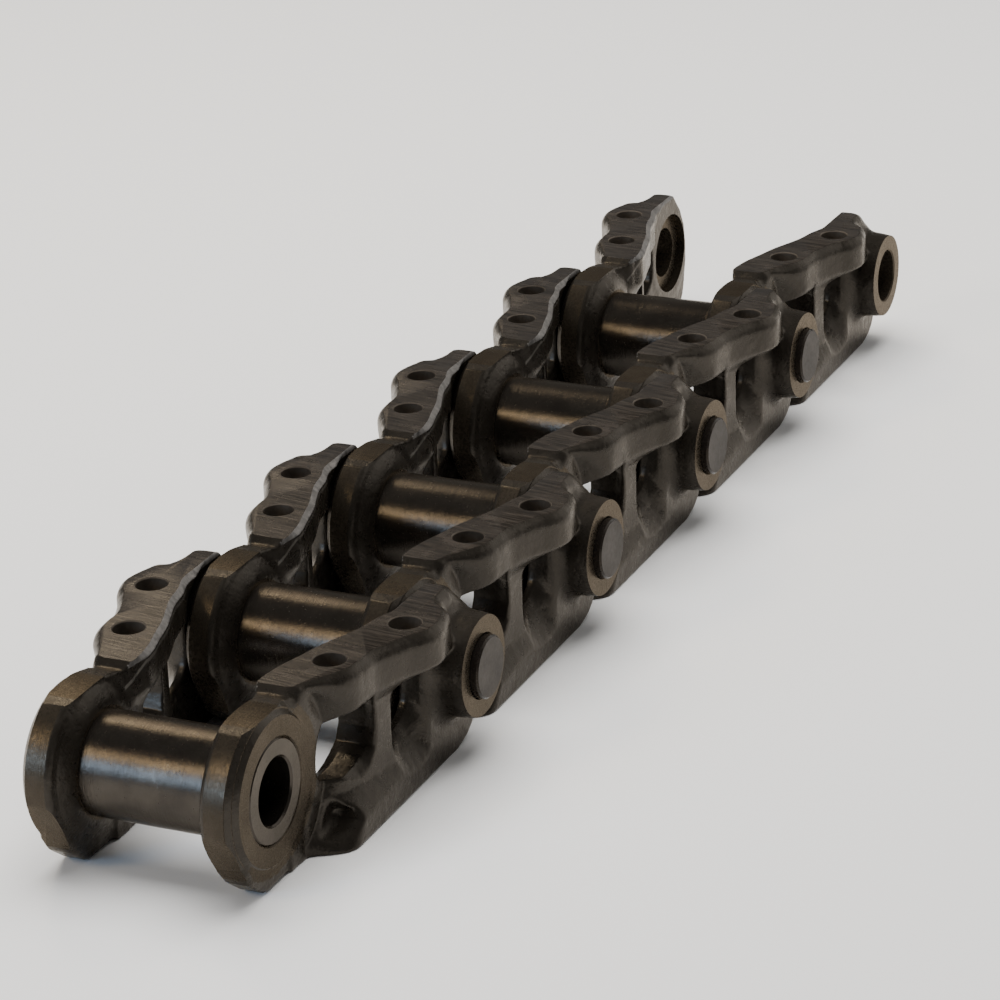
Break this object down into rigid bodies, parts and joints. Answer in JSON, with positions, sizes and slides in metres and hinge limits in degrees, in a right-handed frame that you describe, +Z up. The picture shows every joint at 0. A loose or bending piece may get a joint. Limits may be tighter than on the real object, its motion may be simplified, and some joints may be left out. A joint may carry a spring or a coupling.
{
  "type": "track chain",
  "caption": "Track chain of a crawler excavator: forged link pairs on pins and bushings, hinged to wrap sprocket and idler, drilled for track shoes.",
  "frame": {"origin": "below the middle of the chain, on the level of the roller rails", "axes": "+X along the chain from its open bushing to its empty pin bosses, +Y across it to the left links, +Z up to the faces that carry the track shoes"},
  "size_m": [1.035, 0.2276, 0.1044],
  "materials": {
    "link_forging": "gloss",
    "bushing_steel": "satin",
    "pin_steel": "satin",
    "seal_ring": "matte"
  },
  "bodies": {
    "link_pair_1": {"left_link_1": "link_forging", "right_link_1": "link_forging", "bushing_1": "bushing_steel", "pin_1": "pin_steel", "left_seal_1": "seal_ring", "right_seal_1": "seal_ring"},
    "link_pair_2": {"left_link_2": "link_forging", "right_link_2": "link_forging", "bushing_2": "bushing_steel", "pin_2": "pin_steel", "left_seal_2": "seal_ring", "right_seal_2": "seal_ring"},
    "link_pair_3": {"left_link_3": "link_forging", "right_link_3": "link_forging", "bushing_3": "bushing_steel", "pin_3": "pin_steel", "left_seal_3": "seal_ring", "right_seal_3": "seal_ring"},
    "link_pair_4": {"left_link_4": "link_forging", "right_link_4": "link_forging", "bushing_4": "bushing_steel", "pin_4": "pin_steel", "left_seal_4": "seal_ring", "right_seal_4": "seal_ring"},
    "link_pair_5": {"left_link_5": "link_forging", "right_link_5": "link_forging", "bushing_5": "bushing_steel"}
  },
  "joints": [
    {"name": "hinge_1", "type": "hinge", "parent": "link_pair_1", "child": "link_pair_2", "pos_m": [-0.2765, 0, 0.058], "axis": [0, 1, 0], "range_deg": [-10, 35]},
    {"name": "hinge_2", "type": "hinge", "parent": "link_pair_2", "child": "link_pair_3", "pos_m": [-0.0865, 0, 0.058], "axis": [0, 1, 0], "range_deg": [-10, 35]},
    {"name": "hinge_3", "type": "hinge", "parent": "link_pair_3", "child": "link_pair_4", "pos_m": [0.1035, 0, 0.058], "axis": [0, 1, 0], "range_deg": [-10, 35]},
    {"name": "hinge_4", "type": "hinge", "parent": "link_pair_4", "child": "link_pair_5", "pos_m": [0.2935, 0, 0.058], "axis": [0, 1, 0], "range_deg": [-10, 35]}
  ]
}
